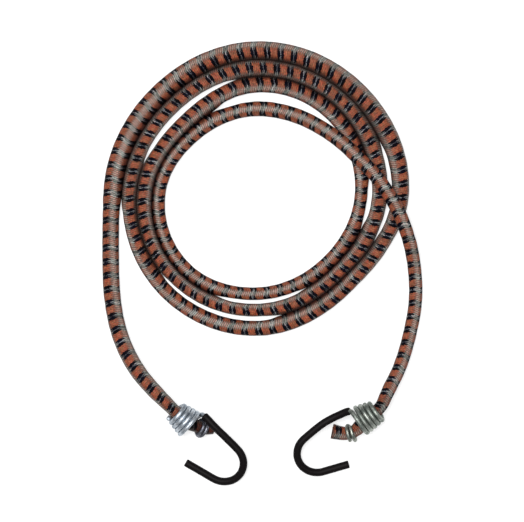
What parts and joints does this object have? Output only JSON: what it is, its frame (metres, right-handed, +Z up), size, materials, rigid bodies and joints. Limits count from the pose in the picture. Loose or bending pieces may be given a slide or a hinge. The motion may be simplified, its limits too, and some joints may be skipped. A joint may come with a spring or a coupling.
{
  "type": "bungee cord",
  "caption": "Elastic cord lying in loops: a braided sheath over a rubber core, with a wound steel wire hook, a black plastic sleeve and a crimp ring at each end.",
  "frame": {"origin": "middle of the part's bounding box in plan, on the surface that the cord lies on", "axes": "+Z up from that surface, +Y from the hooks towards the far side of the loops, +X to the right in the picture"},
  "size_m": [0.1977, 0.2751, 0.0202],
  "materials": {
    "braid": "braided textile in orange, navy and grey",
    "latex": "bundle of latex strands",
    "zinc": "zinc-plated steel wire",
    "vinyl": "black soft PVC tube, satin",
    "ring_steel": "zinc-plated steel wire, closed with pliers"
  },
  "bodies": {
    "cord": {"sheath_coil": "braid", "core_coil": "latex", "sheath_lead_left": "braid", "core_lead_left": "latex", "sheath_lead_right": "braid", "core_lead_right": "latex"},
    "end_left": {"sheath_tail_left": "braid", "core_tail_left": "latex", "crimp_ring_left": "ring_steel"},
    "end_right": {"sheath_tail_right": "braid", "core_tail_right": "latex", "crimp_ring_right": "ring_steel"},
    "hook_left": {"hook_wire_left": "zinc", "hook_sleeve_left": "vinyl"},
    "hook_right": {"hook_wire_right": "zinc", "hook_sleeve_right": "vinyl"}
  },
  "joints": [
    {"name": "stretch_left", "type": "slide", "parent": "cord", "child": "end_left", "axis": [0, -1, 0], "range_m": [0, 0.1], "stiffness_N_per_m": 1300, "deforming": ["sheath_lead_left", "core_lead_left"]},
    {"name": "stretch_right", "type": "slide", "parent": "cord", "child": "end_right", "axis": [0, -1, 0], "range_m": [0, 0.1], "stiffness_N_per_m": 1300, "deforming": ["sheath_lead_right", "core_lead_right"]},
    {"name": "swivel_left", "type": "hinge", "parent": "end_left", "child": "hook_left", "pos_m": [-0.0452, -0.1004, 0.0101], "axis": [0.7067, -0.7018, -0.0898], "range_deg": [0, 180]},
    {"name": "swivel_right", "type": "hinge", "parent": "end_right", "child": "hook_right", "pos_m": [0.0599, -0.0977, 0.0101], "axis": [0.8543, 0.5133, 0.0812], "range_deg": [0, 90]}
  ]
}
